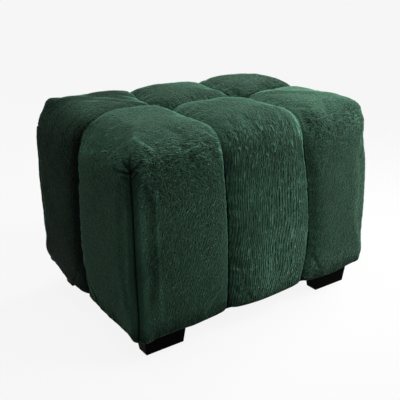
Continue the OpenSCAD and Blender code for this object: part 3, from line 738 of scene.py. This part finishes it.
def seamShades(points, corner, seed, around):
    # how dark the seams are: the dark thread line, with stitches as dark dots along the seams of the top,
    # and painted shade in the seam valleys, around the tufts and in a painted shadow band beside a seam
    m = shading
    near, along, deepX, deepY, run, onTop = around
    behind = seed["signs"][1] > 0
    dots = 0.5 + 0.5 * np.cos(2 * math.pi * (run if corner else np.abs(points[:, 0])) / m["stitch"])
    towards = points[:, 0] * seed["signs"][0] > 0
    thread = seed["thread"] if corner else np.where(towards, seed["thread"], 1)
    alongWidth = 1 + onTop * m["alongWidthBehind" if behind else "alongWidth"]
    shades = []
    for distance, deep, width, share in ((near, deepX, 1, thread), (along, deepY, alongWidth, 1)):
        # painted shade that falls off from the seam into the valley beside it
        seamValleyShade = m["seamValleyShade"] * share * (0.3 + deep) * np.exp(-distance / m["seamValleyShadeReach"])
        line = bump(distance, m["threadWidth"] * width * (0.6 + 0.4 * deep)) * (1 - 0.45 * onTop * dots)
        shades.append(np.maximum(line * share, seamValleyShade))
    seamLineAndShade = np.maximum(shades[0], shades[1] * (1 if corner else onTop))
    # painted shade around the tufts
    tuftReach = m["tuftReachBehind" if behind else "tuftReach"]
    seamLineAndShade = np.maximum(seamLineAndShade, m["tuft"] * bump(np.hypot(near, along), tuftReach) * onTop)
    # painted shadow band beside the seam, for a panel whose shadow is above 0
    fall = 1 - smooth(points[:, 2], 0.395, 0.440)
    return np.maximum(seamLineAndShade, seed["shadow"] * np.minimum(1.7 * bump(along, m["shadowReach"]), 1) * fall)


def cornerRelief(rise, points, seed):
    # the upright corner seam: its groove and gather, and where the corner is pulled in;
    # its dark line, with painted shade at the bottoms of the creases
    m, z = detail, points[:, 2]
    away, height = cornerChart(points)
    side = np.abs(away)
    below = 1 - smooth(z, m["seamTop"] - 0.006, m["seamTop"] + 0.002)
    rise -= m["groove"] * bump(away, m["grooveWidth"]) * below
    rise += m["cheek"] * seed["gather"] * bump(side - m["cheekWidth"], m["cheekWidth"]) \
        * (1 - smooth(z, 0.36, 0.41))
    pulls = noiseAlong(z, np.sign(away) * 2, m["cornerPuckerScale"], (seed["shift"] * 11, 0.3, 0.7))
    rise += m["cornerPucker"] * pulls * np.exp(-side / m["cornerPuckerReach"]) \
        * smooth(side, 0.0008, 0.003) * below
    dark = bump(away, shading["threadWidth"] * (1.25 + 0.5 * bump(z - 0.383, 0.010))) * below
    for *pleat, depth in cornerPleats:
        crease, creaseShade = pleatLine(away, height, *pleat)
        rise += depth * seed["gather"] * crease * smooth(z, 0.25, 0.30)
        # painted shade at the bottom of the crease
        dark = np.maximum(dark, min(depth / 0.0024, 1) * creaseShade)
    for *streak, lift, _ in seed["streaks"]:
        rise += lift * pleatLine(away, height, *streak)[1]
    pinch = seed["pinch"] * bump(away, m["pinchWidth"]) * smooth(z, 0.27, 0.37)
    rise -= pinch * (1 - smooth(z, 0.408, 0.430))
    rise -= seed["tuckIn"] * bump(away, m["pinchWidth"]) * bump(z - m["tuckHeight"], m["tuckReach"])
    slope = smooth(z, 0.350, 0.395) * (1 - smooth(z, 0.415, 0.437))
    rise -= seed["ear"] * bump(away, m["earWidth"]) * slope
    rise += 0.8 * seed["ear"] * bump(away, m["earTip"]) * bump(z - m["earHeight"], 0.006)
    return rise, dark


def paintLightAndShade(points, corner, seed):
    # painted light and shade: the panel's tone, painted lighter and darker spots, lighter streaks,
    # painted shade towards the bottom, and a painted highlight along a full edge beside a seam
    m = shading
    signX, signY = seed["signs"]
    placed, z = points * (signX, signY, 1), points[:, 2]
    tone = np.full(len(points), float(seed["tone"]))
    if corner:
        away, height = cornerChart(points)
        for *streak, _, share in seed["streaks"]:
            tone *= 1 + share * pleatLine(away, height, *streak)[1]
    for place, reach, share in seed["paintedLightSpots"]:
        tone *= 1 + share * bump(np.linalg.norm((placed - place) / reach, axis=1), 1)
    # painted shade towards the bottom
    tone *= 1 - m["low"] * (1 - smooth(z, *m["lowShadeHeights"]))
    # painted highlight along the edge where a panel is full up to the seam
    near = seamDistances(points, corner)[0]
    full = 1 - seed["deep"][0] if corner else smooth(placed[:, 0], 0, 0.02) * (signY < 0)
    high = smooth(z, 0.35, 0.41)
    rim = bump(near - 0.0030 - 0.0050 * high, 0.0022 + 0.0034 * high) * smooth(z, 0.10, 0.30)
    return tone * (1 + m["rim"] * full * seed["paintedRimShare"] * rim)


# seams that the fill has pushed aside, by so many millimetres at each height: the front pair,
# the left one and the back pair; side gives the axis, the way and the places where it sets in
seamBows = (
    dict(axis=0, place=-0.0998, side=(1, -1, 0.150, 0.205),
         heights=(0.05, 0.10, 0.20, 0.30, 0.38, 0.44), shifts=(12, 13.5, 14, 10, 5, 0)),
    dict(axis=0, place=0.0998, side=(1, -1, 0.150, 0.205),
         heights=(0.05, 0.075, 0.12, 0.19, 0.28, 0.36, 0.44), shifts=(9, 14, 23, 27, 20, 7, -1)),
    dict(axis=1, place=0.0, side=(0, -1, 0.210, 0.265),
         heights=(0.05, 0.08, 0.15, 0.25, 0.36, 0.44), shifts=(-2, 9, 22, 14, 0, 0)),
    dict(axis=0, place=-0.0998, side=(1, 1, 0.070, 0.170),
         heights=(0.20, 0.36, 0.42, 0.44), shifts=(0, 6, 17, 19)),
    dict(axis=0, place=0.0998, side=(1, 1, 0.070, 0.170),
         heights=(0.20, 0.36, 0.42, 0.44), shifts=(0, 5, 14, 16)))
bowReach = 0.068


def bowed(points, signs):
    moved, z = points.copy(), points[:, 2]
    placed = points[:, 0] * signs[0], points[:, 1] * signs[1]
    for bow in seamBows:
        axis, (wall, way, low, high) = bow["axis"], bow["side"]
        facing = smooth(way * placed[wall], low, high)
        shifts = [np.interp(z + step, bow["heights"], bow["shifts"]) for step in (-0.012, 0, 0.012)]
        shift = sum(shifts) / 3000
        moved[:, axis] += signs[axis] * shift * facing * bump(placed[axis] - bow["place"], bowReach)
    return moved


# the edge of the cover that is folded under the frame
hemFold = dict(out=0.0085, gap=0.0004, lift=0.0001, thick=0.0013, columns=60, rows=5)


def hemStrip(corner):
    f, h = form, hemFold
    bm = bmesh.new()
    bmesh.ops.create_grid(bm, x_segments=h["columns"], y_segments=h["rows"], size=1)
    bmesh.ops.recalc_face_normals(bm, faces=bm.faces)
    inX, inY = f["hemX"], f["hemY"]
    outX, outY = f["panelX"] + h["out"], f["panelY"] + h["out"]
    for vertex in bm.verts:
        s, t = (vertex.co.x + 1) / 2, (vertex.co.y + 1) / 2
        limitX, limitY = inX + (outX - inX) * t, inY + (outY - inY) * t
        if not corner:
            place = ((2 * s - 1) * (f["tuftX"] - h["gap"]), limitY)
        elif s < 0.5:
            startX = f["tuftX"] + h["gap"]
            place = (startX + (limitX - startX) * s * 2, limitY)
        else:
            place = (limitX, limitY + (h["gap"] - limitY) * (s * 2 - 1))
        vertex.co = (*place, f["low"] + h["lift"])
    thicken(bm, h["thick"])
    return meshFrom(bm, "hem")


def finishPanel(seed, replaced):
    corner, (signX, signY) = seed["corner"], seed["signs"]
    body = basePanels[corner].copy()
    points, normals = coordsOf(body), coordsOf(body, "normal")
    near, along = seamDistances(points, corner)
    normals[:, 0] *= smooth(near, 0.002, 0.010)
    free = (along > 0.010) | corner | (points[:, 2] > 0.40)
    normals[:, 1] *= np.where(free, smooth(along, 0.002, 0.010), 1)
    rise, weaveA, weaveB, share, seamLineAndShade = relief(points, corner, seed)
    tone = paintLightAndShade(points, corner, seed)
    points = keptApart(points + normals * rise[:, None], corner)
    ribs = seed["ribs"] * (1 - 0.85 * smooth(points[:, 2], 0.30, 0.40))
    setCoords(body, bowed(points, seed["signs"]))
    hem = hemStrip(corner)
    bm = bmesh.new()
    bm.from_mesh(body)
    bm.from_mesh(hem)
    bmesh.ops.scale(bm, vec=(signX, signY, 1), verts=bm.verts)
    if signX * signY < 0:
        bmesh.ops.reverse_faces(bm, faces=bm.faces)
    smoothFaces(bm)
    mesh = meshFrom(bm, "padded_" + seed["name"])
    places = coordsOf(hem)
    hemA, hemB, hemShare = fabricMap(places, corner, seed)
    plain = np.zeros(len(places))
    for label, kind, own, more in (
            ("weaveA", "FLOAT_VECTOR", weaveA, hemA), ("weaveB", "FLOAT_VECTOR", weaveB, hemB),
            ("weaveShare", "FLOAT_VECTOR", share, hemShare), ("seamShade", "FLOAT", seamLineAndShade, plain),
            ("paintedLightTone", "FLOAT", tone, plain + 1), ("ribShare", "FLOAT", ribs, plain)):
        layer = mesh.attributes.new(label, kind, "POINT")
        values = np.concatenate([own, more]).astype(np.float32).ravel()
        layer.data.foreach_set("vector" if kind == "FLOAT_VECTOR" else "value", values)
    piece = addPiece(mesh.name, mesh, "green_chenille", replaced)
    return piece


# creases that spread from the top of the upright corner seam
cornerPleats = [
    ((0.0, 0.387), (0.033, 0.386), 0.0034, 0.0044), ((0.0, 0.387), (-0.017, 0.405), 0.0038, 0.0046),
    ((0.0, 0.388), (0.001, 0.420), 0.0026, 0.0024), ((0.0, 0.389), (0.014, 0.409), 0.0026, 0.0024),
    ((0.0, 0.388), (-0.008, 0.414), 0.0022, 0.0015), ((0.0, 0.376), (-0.012, 0.387), 0.0022, 0.0022),
    ((0.0, 0.375), (0.013, 0.380), 0.0020, 0.0016)]
plainPanel = dict(
    corner=True, ear=0, pinch=0, tuckIn=0, shadow=0, thread=1, gather=0.3, paintedRimShare=1,
    fuller=[], streaks=[], paintedLightSpots=[])
# fuller: x, y, height and reach; streaks: start, end, width, height and share of lighter tone,
# mostly a painted highlight on fold ridges; paintedLightSpots: place, reach and share of painted light,
# below 0 painted shade; tuftPleats: bearing, reach and share; tone: the panel's painted light level
panels = (
    dict(
        plainPanel, name="front_left", signs=(-1, -1), slant=18, shift=1.3, crossed=0.8,
        grain=(0.95, 1.3), tone=0.95, deep=(0.0, 0.0), rough=(0.25, 0.70, 0.60), ribs=0.18, gather=1,
        fuller=[(0.282, 0.018, -0.010, 0.036), (0.135, 0.048, 0.004, 0.036),
                (0.175, 0.032, 0.006, 0.045), (0.225, 0.030, 0.006, 0.045)],
        tuftPleats=[(38, 0.045, 1.0), (62, 0.036, 0.8), (15, 0.030, 0.5)],
        streaks=[((0.0, 0.467), (-0.033, 0.428), 0.0028, 0.0022, 1.9),
                 ((0.0, 0.467), (0.032, 0.430), 0.0032, 0.0012, 0.8),
                 ((0.032, 0.430), (0.066, 0.378), 0.0036, 0.0010, 0.7),
                 ((-0.0065, 0.360), (-0.0065, 0.060), 0.0050, 0.0, 0.15),
                 ((-0.028, 0.385), (-0.031, 0.350), 0.0012, 0.0004, 1.6),
                 ((-0.040, 0.345), (-0.041, 0.09), 0.0020, 0.0005, 1.2)],
        paintedLightSpots=[((-0.17, -0.19, 0.43), (0.07, 0.05, 0.04), -0.05),
               ((-0.28, -0.23, 0.36), (0.035, 0.035, 0.04), -0.25),
               ((-0.12, -0.23, 0.20), (0.06, 0.05, 0.16), 0.10),
               ((-0.22, -0.23, 0.08), (0.08, 0.05, 0.08), -0.10),
               ((-0.268, -0.23, 0.200), (0.022, 0.04, 0.032), -0.38),
               ((-0.30, -0.10, 0.25), (0.05, 0.12, 0.2), 0.10),
               ((-0.285, -0.06, 0.405), (0.04, 0.10, 0.035), 1.4),
               ((-0.30, -0.205, 0.20), (0.03, 0.040, 0.22), 1.1),
               ((-0.17, -0.205, 0.405), (0.11, 0.04, 0.035), 0.45)]),
    dict(
        plainPanel, name="front_right", signs=(1, -1), slant=-24, shift=2.9, crossed=0.6,
        grain=(1.1, 1.2), tone=0.90, deep=(0.6, 0.5), rough=(0.50, 0.80, 0.50), ribs=0.25,
        thread=0.3, pinch=0.008, tuckIn=0.007, tuftPleats=[(30, 0.040, 0.9), (55, 0.044, 0.8)],
        paintedLightSpots=[((0.26, -0.14, 0.43), (0.08, 0.10, 0.06), 2.1),
               ((0.150, -0.18, 0.430), (0.03, 0.05, 0.03), 0.7),
               ((0.30, -0.21, 0.15), (0.03, 0.045, 0.08), 0.4),
               ((0.30, -0.21, 0.28), (0.03, 0.045, 0.10), 0.8),
               ((0.106, -0.22, 0.21), (0.018, 0.04, 0.17), 0.9),
               ((0.18, -0.12, 0.44), (0.07, 0.09, 0.03), 0.15)]),
    dict(
        plainPanel, name="back_left", signs=(-1, 1), slant=12, shift=4.7, crossed=0.7,
        grain=(1, 1.0), tone=0.43, deep=(0.1, 1.0), rough=(0.4, 0.8, 0.4), ribs=0.3, gather=0.8,
        paintedRimShare=0.1, ear=0.008, tuckIn=0.009, shadow=1.0, tuftPleats=[(42, 0.042, 1.0), (70, 0.034, 0.6)],
        fuller=[(0.125, 0.19, 0.006, 0.045), (0.196, 0.122, -0.0045, 0.026),
                (0.160, 0.070, -0.0038, 0.022), (0.138, 0.036, -0.0025, 0.018),
                (0.178, 0.097, -0.0020, 0.020), (0.185, 0.190, 0.0020, 0.030)],
        paintedLightSpots=[((-0.2, 0.12, 0.45), (0.12, 0.12, 0.04), 0.15),
               ((-0.3, 0.12, 0.06), (0.05, 0.14, 0.11), -0.75),
               ((-0.3, 0.11, 0.22), (0.05, 0.17, 0.18), -0.42),
               ((-0.275, 0.03, 0.425), (0.04, 0.05, 0.03), 0.6),
               ((-0.3, 0.12, 0.34), (0.04, 0.15, 0.06), -0.35),
               ((-0.265, 0.20, 0.43), (0.05, 0.05, 0.03), 0.6),
               ((-0.15, 0.16, 0.44), (0.08, 0.10, 0.04), -0.38),
               ((-0.2, 0.05, 0.435), (0.10, 0.04, 0.03), 0.15)]),
    dict(
        plainPanel, name="back_right", signs=(1, 1), slant=-15, shift=6.1, crossed=0.5,
        grain=(1, 1.0), tone=0.72, deep=(0.5, 0.5), rough=(0.7, 0.9, 0.3), ribs=0.3, ear=0.001,
        tuftPleats=[(25, 0.036, 0.7), (50, 0.046, 1.0)],
        fuller=[(0.24, 0.05, 0.007, 0.055), (0.262, 0.130, 0.008, 0.048),
                (0.285, 0.215, -0.021, 0.046), (0.232, 0.152, -0.0055, 0.028)]),
    dict(
        plainPanel, name="front_middle", corner=False, signs=(1, -1), slant=-5, shift=7.7,
        crossed=0, grain=(0.9, 0.6), tone=1.42, deep=(0.7, 0.5), rough=(1.10, 0.90, 0.10),
        ribs=0.50, thread=0.4, tuftPleats=[(35, 0.042, 0.9), (58, 0.038, 0.9)],
        paintedLightSpots=[((0.0, -0.23, 0.12), (0.022, 0.05, 0.06), 0.45),
               ((0.0, -0.22, 0.355), (0.08, 0.05, 0.045), -0.32),
               ((0.0, -0.08, 0.445), (0.10, 0.10, 0.03), -0.42),
               ((-0.085, -0.22, 0.30), (0.016, 0.04, 0.09), 0.5),
               ((-0.03, -0.23, 0.17), (0.08, 0.05, 0.09), 0.15)]),
    dict(
        plainPanel, name="back_middle", corner=False, signs=(1, 1), slant=8, shift=9.2,
        crossed=0.3, grain=(1.0, 0.8), tone=0.72, deep=(0.5, 0.5), rough=(0.8, 0.9, 0.2), ribs=0.4,
        tuftPleats=[(40, 0.040, 0.8), (65, 0.036, 0.8)]))
for seed in panels:
    finishPanel(seed, ["cover_" + seed["name"], "fibre_pad_" + seed["name"]])
for mesh in basePanels.values():
    bpy.data.meshes.remove(mesh)
print("six padded panels made")

# feet, from the part's own blocks with their long edges eased

foot = dict(easing=0.0010, segments=3, longest=0.024)


def easedFoot(name):
    bm = bmesh.new()
    bm.from_mesh(nodes[name].data)
    bmesh.ops.remove_doubles(bm, verts=bm.verts, dist=1e-6)
    bmesh.ops.dissolve_limit(bm, angle_limit=math.radians(0.5), verts=bm.verts, edges=bm.edges)
    sharp = [
        e for e in bm.edges
        if e.calc_length() > foot["longest"] and len(e.link_faces) == 2 and e.calc_face_angle() > 0.5]
    bmesh.ops.bevel(
        bm, geom=sharp, offset=foot["easing"], offset_type="OFFSET", segments=foot["segments"],
        profile=0.5, affect="EDGES", clamp_overlap=True, material=-1)
    return meshFrom(bm, "eased_" + name)


for corner in ("front_left", "front_right", "back_left", "back_right"):
    addPiece("block_foot_" + corner, easedFoot("foot_" + corner), "black_foot", ["foot_" + corner])
print("feet made")

# dust cover under the frame, stretched between its staples

dust = dict(
    halfX=0.257, halfY=0.187, top=0.0505, thick=0.0005, gap=0.0001, sag=0.0030, openX=0.196,
    openY=0.126, ripple=0.0009, rippleScale=(16, 11, 1), columns=90, rows=66)


def dustSheet():
    d = dust
    bm = bmesh.new()
    bmesh.ops.create_grid(bm, x_segments=d["columns"], y_segments=d["rows"], size=1)
    bmesh.ops.scale(bm, vec=(d["halfX"], d["halfY"], 1), verts=bm.verts)
    flat = np.array([v.co for v in bm.verts])
    a, b = np.abs(flat[:, 0]) / d["openX"], np.abs(flat[:, 1]) / d["openY"]
    hang = np.clip(1 - a ** 2, 0, 1) * np.clip(1 - b ** 2, 0, 1)
    ripple = noiseAt(flat, d["rippleScale"], (0, 0, 4)) * smooth(hang, 0.02, 0.4)
    sag = d["sag"] * hang ** 0.7
    z = d["top"] - d["thick"] - sag - d["ripple"] * (ripple + 1) * smooth(hang, 0.02, 0.5)
    for vertex, height in zip(bm.verts, z):
        vertex.co.z = height
    thicken(bm, d["thick"] - d["gap"])
    smoothFaces(bm)
    return meshFrom(bm, "dust_sheet")


dustPiece = addPiece("dust_sheet", dustSheet(), "dust_cloth", ["dust_cover"])
print("dust sheet made")

# studio: floor, world, lights and camera

studio = dict(
    floorSize=30, floorColour=0.09, floorGlow=0.887, backdrop=0.97, ambient=0.080,
    rimFrom=(1.0, 0.25, 0.55), rimPower=2.0, rimAngle=30)
# name, place, aim, power, size and spread of each softbox
softboxes = (
    ("key", (1.00, -0.85, 1.25), (0.45, 0.0, 0.25), 7.2, 1.1, 74),
    ("fill", (-1.1, -1.0, 0.6), (0, 0, 0.25), 0.45, 0.8, 180),
    ("overhead", (-0.30, -0.05, 1.45), (-0.30, -0.05, 0.44), 0.75, 0.5, 70))


def seenShare(tree):
    # 1 for rays that the viewer sees, 0 for rays that light the ottoman
    path = addNode(tree, "LightPath")
    seen = mathNode(tree, "MAXIMUM", path.outputs["Is Camera Ray"], path.outputs["Is Glossy Ray"])
    return mathNode(tree, "MAXIMUM", seen, path.outputs["Is Transmission Ray"])


def makeFloor():
    bm = bmesh.new()
    bmesh.ops.create_grid(bm, x_segments=8, y_segments=8, size=studio["floorSize"])
    mesh = meshFrom(bm, "studio_floor")
    floor = bpy.data.objects.new("studio_floor", mesh)
    scene.collection.objects.link(floor)
    grey = studio["floorColour"]
    tree = startMaterial(
        "floor_paper", Base_Color=(grey, grey, grey, 1), Roughness=0.9, Specular_IOR_Level=0,
        Emission_Color=(1, 1, 1, 1))
    dress(tree, Emission_Strength=mathNode(tree, "MULTIPLY", seenShare(tree), studio["floorGlow"]))
    mesh.materials.append(finish["floor_paper"])


def makeWorld():
    world = bpy.data.worlds.new("studio")
    world.use_nodes = True
    scene.world = world
    tree = world.node_tree
    background = tree.nodes["Background"]
    background.inputs["Color"].default_value = (1, 1, 1, 1)
    ambient = studio["ambient"]
    strength = mathNode(tree, "MULTIPLY_ADD", seenShare(tree), studio["backdrop"] - ambient, ambient)
    tree.links.new(strength, background.inputs["Strength"])


def addLight(lamp, place, comesFrom):
    light = bpy.data.objects.new(lamp.name, lamp)
    light.rotation_mode = "QUATERNION"
    light.rotation_quaternion = comesFrom.to_track_quat("Z", "Y")
    light.location = place
    scene.collection.objects.link(light)
    return light


def addSoftbox(name, place, aim, power, size, spread):
    lamp = bpy.data.lights.new(name, "AREA")
    lamp.energy, lamp.size, lamp.spread = power, size, math.radians(spread)
    addLight(lamp, place, Vector(place) - Vector(aim)).visible_camera = False


def addSun(name, comesFrom, power, angle):
    lamp = bpy.data.lights.new(name, "SUN")
    lamp.energy, lamp.angle = power, math.radians(angle)
    addLight(lamp, comesFrom * 3, comesFrom)


makeFloor()
makeWorld()
for softbox in softboxes:
    addSoftbox(*softbox)
addSun("rim", Vector(studio["rimFrom"]), studio["rimPower"], studio["rimAngle"])

cameraSet = dict(
    place=(-0.7967, -1.2114, 0.7519), azimuth=-35.31, elevation=17.82, roll=-0.67, lens=60.86,
    shiftX=-0.06, shiftY=-0.085)


def makeCamera():
    c = cameraSet
    data = bpy.data.cameras.new("view")
    data.sensor_width, data.lens = 36, c["lens"]
    data.shift_x, data.shift_y = c["shiftX"], c["shiftY"]
    data.clip_start, data.clip_end = 0.05, 100
    az, el, roll = (math.radians(c[k]) for k in ("azimuth", "elevation", "roll"))
    back = Vector((math.sin(az) * math.cos(el), -math.cos(az) * math.cos(el), math.sin(el)))
    right = Vector((math.cos(az), math.sin(az), 0))
    up = back.cross(right)
    turnedRight = right * math.cos(roll) + up * math.sin(roll)
    turnedUp = up * math.cos(roll) - right * math.sin(roll)
    camera = bpy.data.objects.new("view", data)
    turn = Matrix((turnedRight, turnedUp, back)).transposed()
    camera.matrix_world = Matrix.Translation(c["place"]) @ turn.to_4x4()
    scene.collection.objects.link(camera)
    scene.camera = camera


makeCamera()
scene.view_settings.view_transform = "Standard"
print("studio and camera made")
